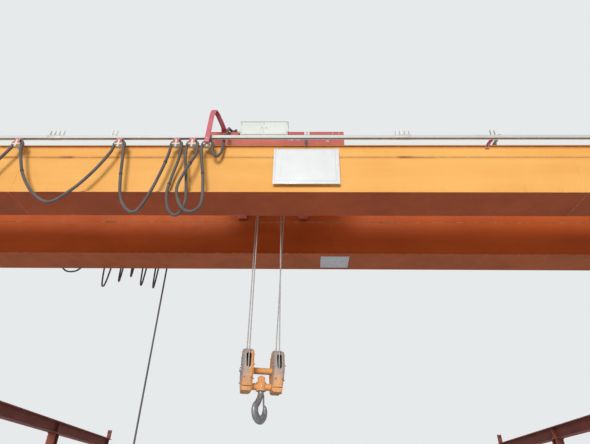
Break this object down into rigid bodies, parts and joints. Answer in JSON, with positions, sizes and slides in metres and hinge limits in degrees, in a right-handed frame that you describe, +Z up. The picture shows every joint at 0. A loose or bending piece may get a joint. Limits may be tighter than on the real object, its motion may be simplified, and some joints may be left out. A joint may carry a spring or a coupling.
{
  "type": "overhead bridge crane",
  "caption": "Double-girder overhead travelling crane on a raised runway, with a crab hoist, twin-sheave hook block and cable festoon.",
  "frame": {"origin": "floor level, in the middle of the runway's plan", "axes": "+X along the bridge to the right, +Y along the runway, +Z up"},
  "size_m": [19.46, 21.6, 6.045],
  "materials": {
    "red_oxide_paint": "matt",
    "crab_red_paint": "satin",
    "orange_paint": "satin",
    "rolled_steel": "satin",
    "forged_steel": "satin",
    "galvanised_steel": "satin",
    "cream_paint": "satin",
    "cable_sheath": "matt",
    "black_rubber": "matt",
    "wire_rope": "satin",
    "yellow_plastic": "satin",
    "machine_grey_paint": "satin"
  },
  "bodies": {
    "runway": {"runway_beam_left": "red_oxide_paint", "runway_beam_right": "red_oxide_paint", "column_left_1": "red_oxide_paint", "column_left_2": "red_oxide_paint", "column_left_3": "red_oxide_paint", "column_left_4": "red_oxide_paint", "column_left_5": "red_oxide_paint", "column_right_1": "red_oxide_paint", "column_right_2": "red_oxide_paint", "column_right_3": "red_oxide_paint", "column_right_4": "red_oxide_paint", "column_right_5": "red_oxide_paint"},
    "bridge": {"front_girder": "orange_paint", "rear_girder": "orange_paint", "front_crab_rail": "rolled_steel", "rear_crab_rail": "rolled_steel", "end_carriage_left": "orange_paint", "end_carriage_right": "orange_paint", "bridge_wheel_left_front": "rolled_steel", "bridge_wheel_left_rear": "rolled_steel", "bridge_wheel_right_front": "rolled_steel", "bridge_wheel_right_rear": "rolled_steel", "travel_drive_left": "machine_grey_paint", "travel_drive_right": "machine_grey_paint", "festoon_track": "galvanised_steel", "festoon_cable": "cable_sheath", "pendant_track": "galvanised_steel", "pendant_festoon_cable": "cable_sheath", "pendant_gland": "black_rubber", "pendant_cable": "cable_sheath", "pendant_station": "yellow_plastic", "notice_board": "cream_paint", "direction_plate": "galvanised_steel"},
    "crab": {"crab_frame": "crab_red_paint", "crab_wheelset_left": "rolled_steel", "crab_wheelset_right": "rolled_steel", "rope_drum": "rolled_steel", "hoist_gearbox": "machine_grey_paint", "hoist_motor": "machine_grey_paint", "equaliser_sheave": "rolled_steel", "control_panel": "cream_paint", "crab_travel_drive": "machine_grey_paint", "tow_arm": "crab_red_paint", "tow_trolley": "cream_paint", "hoist_rope": "wire_rope"},
    "hook_block": {"block_housing_left": "orange_paint", "block_housing_right": "orange_paint", "block_axle": "orange_paint"},
    "left_sheave": {"sheave_left": "rolled_steel"},
    "right_sheave": {"sheave_right": "rolled_steel"},
    "crosshead": {"crosshead": "orange_paint"},
    "hook": {"hook": "forged_steel"},
    "latch": {"latch": "forged_steel"},
    "trolley_1": {"festoon_trolley_1": "cream_paint"},
    "trolley_2": {"festoon_trolley_2": "cream_paint"},
    "trolley_3": {"festoon_trolley_3": "cream_paint"},
    "trolley_4": {"festoon_trolley_4": "cream_paint"},
    "trolley_5": {"festoon_trolley_5": "cream_paint"},
    "trolley_6": {"festoon_trolley_6": "cream_paint"}
  },
  "joints": [
    {"name": "bridge_travel", "type": "slide", "parent": "runway", "child": "bridge", "axis": [0, 1, 0], "range_m": [-0.85, 17.05]},
    {"name": "crab_travel", "type": "slide", "parent": "bridge", "child": "crab", "axis": [1, 0, 0], "range_m": [-6.6, 8.1], "deforming": ["festoon_cable"]},
    {"name": "hoist", "type": "slide", "parent": "crab", "child": "hook_block", "axis": [0, 0, 1], "range_m": [-2.2, 1.9], "deforming": ["hoist_rope"]},
    {"name": "sheave_left_turn", "type": "hinge", "parent": "hook_block", "child": "left_sheave", "pos_m": [-0.61139, -8.1343, 2.83], "axis": [0.9781, 0.2079, 0], "continuous": true},
    {"name": "sheave_right_turn", "type": "hinge", "parent": "hook_block", "child": "right_sheave", "pos_m": [-0.28861, -8.06569, 2.83], "axis": [0.9781, 0.2079, 0], "continuous": true},
    {"name": "crosshead_tilt", "type": "hinge", "parent": "hook_block", "child": "crosshead", "pos_m": [-0.45, -8.1, 2.665], "axis": [0.9781, 0.2079, 0], "range_deg": [-12, 12]},
    {"name": "hook_swivel", "type": "hinge", "parent": "crosshead", "child": "hook", "pos_m": [-0.45, -8.1, 2.6], "axis": [0, 0, 1], "continuous": true},
    {"name": "latch_pivot", "type": "hinge", "parent": "hook", "child": "latch", "pos_m": [-0.43, -8.06536, 2.5857], "axis": [-0.866, 0.5, 0], "range_deg": [0, 24], "stiffness_Nm_per_rad": 0.4, "springref_deg": -17.19},
    {"name": "trolley_1_travel", "type": "slide", "parent": "bridge", "child": "trolley_1", "axis": [1, 0, 0], "range_m": [-1.627, 1.9945]},
    {"name": "trolley_2_travel", "type": "slide", "parent": "trolley_1", "child": "trolley_2", "axis": [1, 0, 0], "range_m": [-1.627, 1.9945]},
    {"name": "trolley_3_travel", "type": "slide", "parent": "trolley_2", "child": "trolley_3", "axis": [1, 0, 0], "range_m": [-1.66, 2.035]},
    {"name": "trolley_4_travel", "type": "slide", "parent": "trolley_3", "child": "trolley_4", "axis": [1, 0, 0], "range_m": [-1.0792, 1.3222]},
    {"name": "trolley_5_travel", "type": "slide", "parent": "trolley_4", "child": "trolley_5", "axis": [1, 0, 0], "range_m": [-0.5908, 0.7228]},
    {"name": "trolley_6_travel", "type": "slide", "parent": "trolley_5", "child": "trolley_6", "axis": [1, 0, 0], "range_m": [-0.076, 0.091]}
  ],
  "couplings": [
    {"joint": "trolley_1_travel", "follows": "crab_travel", "ratio": 0.245},
    {"joint": "trolley_2_travel", "follows": "crab_travel", "ratio": 0.245},
    {"joint": "trolley_3_travel", "follows": "crab_travel", "ratio": 0.25},
    {"joint": "trolley_4_travel", "follows": "crab_travel", "ratio": 0.162},
    {"joint": "trolley_5_travel", "follows": "crab_travel", "ratio": 0.088},
    {"joint": "trolley_6_travel", "follows": "crab_travel", "ratio": 0.01}
  ]
}
